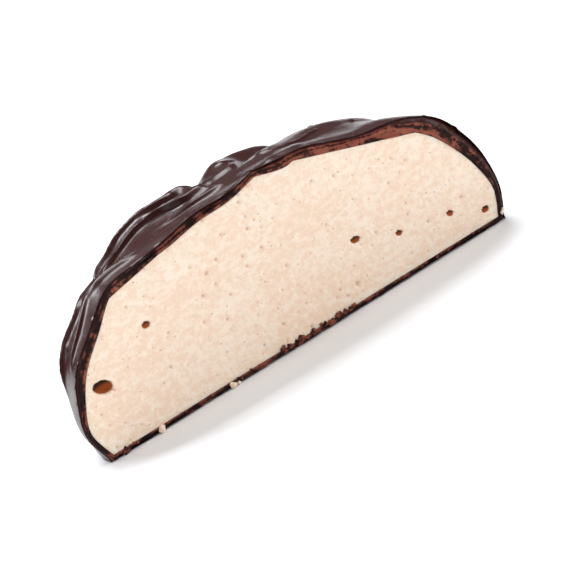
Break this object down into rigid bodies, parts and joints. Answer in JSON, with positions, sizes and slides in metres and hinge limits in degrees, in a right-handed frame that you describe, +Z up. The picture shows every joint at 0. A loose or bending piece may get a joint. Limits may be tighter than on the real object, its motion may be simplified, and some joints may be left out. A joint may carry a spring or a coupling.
{
  "type": "chocolate covered marshmallow",
  "caption": "Cut half of a piped marshmallow mound in a thin coat of dark chocolate, with the pale marshmallow bare at the flat cut.",
  "frame": {"origin": "middle of the footprint's box, on the flat underside", "axes": "+Z up, the flat cut faces -Y, and +X runs along the cut to the right of someone who looks at it"},
  "size_m": [0.0572, 0.028, 0.0215],
  "materials": {
    "dark_chocolate": "satin dark chocolate, dull and rough where it is cut",
    "marshmallow": "matt pale cream foam with fine pores"
  },
  "bodies": {
    "root": {"chocolate_coat": "dark_chocolate", "marshmallow": "marshmallow"}
  },
  "joints": []
}
